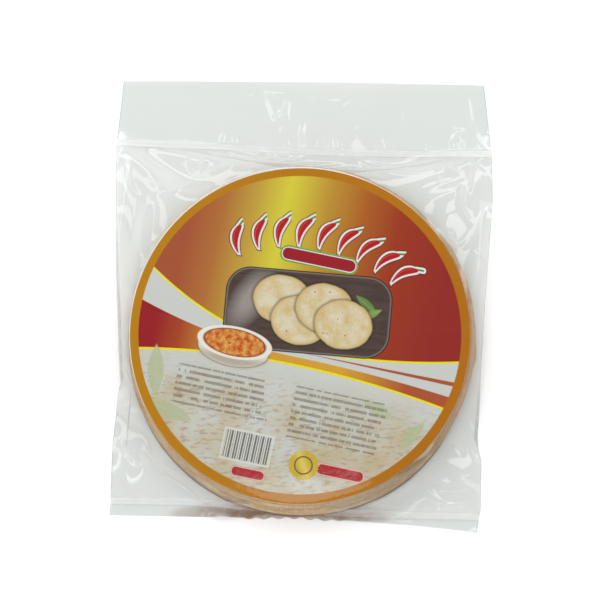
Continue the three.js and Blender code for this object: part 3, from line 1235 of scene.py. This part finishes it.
# Area lights: name, azimuth, elevation, size in metres, radiance. The softboxes light what is
# matt and aren't mirrored, the strips are only mirrored by the film.
LIGHT_DISTANCE = 1.7
SOFTBOXES = (
    ("softbox_top", 90.0, 82.0, (2.4, 2.4), 1.45),
    ("softbox_back", 90.0, 34.0, (2.4, 1.2), 1.55),
    ("softbox_left", 180.0, 30.0, (2.0, 1.2), 1.5),
    ("softbox_right", 0.0, 30.0, (2.0, 1.2), 0.6),
    ("softbox_front", -90.0, 50.0, (1.6, 1.1), 0.75),
)
STRIPS = (
    ("strip_back", 90.0, 42.5, (2.4, 0.34), 2.2),
    ("strip_left", 180.0, 48.0, (2.0, 0.34), 1.6),
    ("strip_right", 0.0, 48.0, (2.0, 0.34), 2.2),
    ("strip_front", -90.0, 60.0, (1.6, 0.2), 1.3),
)
# One small panel hangs overhead and is mirrored towards the camera low on the label only.
PANEL_PLACE = (0.005, -0.19, 1.72)
PANEL_SIZE = (0.13, 0.62)
PANEL_RADIANCE = 1.6

# The camera, which is set to frame VIEW_WIDTH millimetres at its target.
VIEW_DISTANCE = 3200.0
VIEW_ELEVATION = 80.0
VIEW_TARGET = (-1.2, 0.8, TOP_HEIGHT)
VIEW_WIDTH = 387.6
SENSOR_WIDTH = 36.0
FILM_LAYERS_SEEN = 32


def add_floor():
    """A floor just below the pack, out to where the world takes over."""
    corners = [(x * FLOOR_HALF, y * FLOOR_HALF, FLOOR_LEVEL) for x, y in ((-1, -1), (1, -1), (1, 1), (-1, 1))]
    mesh_object("floor", corners, [[0, 1, 2, 3]], floor_material(), rounded=False)


def add_world():
    """A dim studio whose walls are bright near the floor."""
    world = bpy.data.worlds.new("studio")
    world.use_nodes = True
    tree = world.node_tree
    split = tree.nodes.new("ShaderNodeSeparateXYZ")
    tree.links.new(tree.nodes.new("ShaderNodeTexCoord").outputs["Generated"], split.inputs[0])
    wall = inside(Number(tree, split.outputs["Z"]) - WALL_TOP, WALL_FADE)
    strength = wall * (WALL_LIGHT - SKY_LIGHT) + SKY_LIGHT
    tree.links.new(strength.socket, tree.nodes["Background"].inputs["Strength"])
    tree.nodes["Background"].inputs["Color"].default_value = (1.0, 1.0, 1.0, 1.0)
    bpy.context.scene.world = world


def add_light(name, place, size, radiance, mirrored, turn=(0.0, 0.0, 0.0)):
    """An area light, facing down unless turned, that either is mirrored or lights what is matt."""
    data = bpy.data.lights.new(name, "AREA")
    data.shape = "RECTANGLE"
    data.size, data.size_y = size
    data.energy = radiance * math.pi * size[0] * size[1]
    light = link(bpy.data.objects.new(name, data))
    light.location = place
    light.rotation_euler = turn
    light.visible_glossy = mirrored
    light.visible_diffuse = not mirrored


def add_softbox(name, azimuth, elevation, size, radiance, mirrored):
    """An area light that faces the pack."""
    turn, rise = math.radians(azimuth), math.radians(elevation)
    away = Vector((math.cos(turn) * math.cos(rise), math.sin(turn) * math.cos(rise), math.sin(rise)))
    facing = away.to_track_quat("Z", "Y").to_euler()
    add_light(name, away * LIGHT_DISTANCE, size, radiance, mirrored, facing)


def add_camera():
    data = bpy.data.cameras.new("camera")
    data.sensor_width = SENSOR_WIDTH
    data.lens = SENSOR_WIDTH * VIEW_DISTANCE / VIEW_WIDTH
    camera = link(bpy.data.objects.new("camera", data))
    tilt = math.radians(VIEW_ELEVATION)
    away = Vector((0.0, -math.cos(tilt), math.sin(tilt))) * VIEW_DISTANCE
    camera.location = (Vector(VIEW_TARGET) + away) * MM
    camera.rotation_euler = (math.radians(90.0) - tilt, 0.0, 0.0)
    bpy.context.scene.camera = camera


def add_studio():
    add_world()
    add_floor()
    for lights, mirrored in ((SOFTBOXES, False), (STRIPS, True)):
        for light in lights:
            add_softbox(*light, mirrored)
    add_light("panel", PANEL_PLACE, PANEL_SIZE, PANEL_RADIANCE, mirrored=True)
    add_camera()
    bpy.context.scene.view_settings.view_transform = "Standard"
    bpy.context.scene.cycles.transparent_max_bounces = FILM_LAYERS_SEEN


# ---- the whole pack ----
add_studio()
for piece in (*add_film(film_material()), add_sheets(rice_material()), add_label(label_material())):
    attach(piece, "root")
    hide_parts("clear_bag")
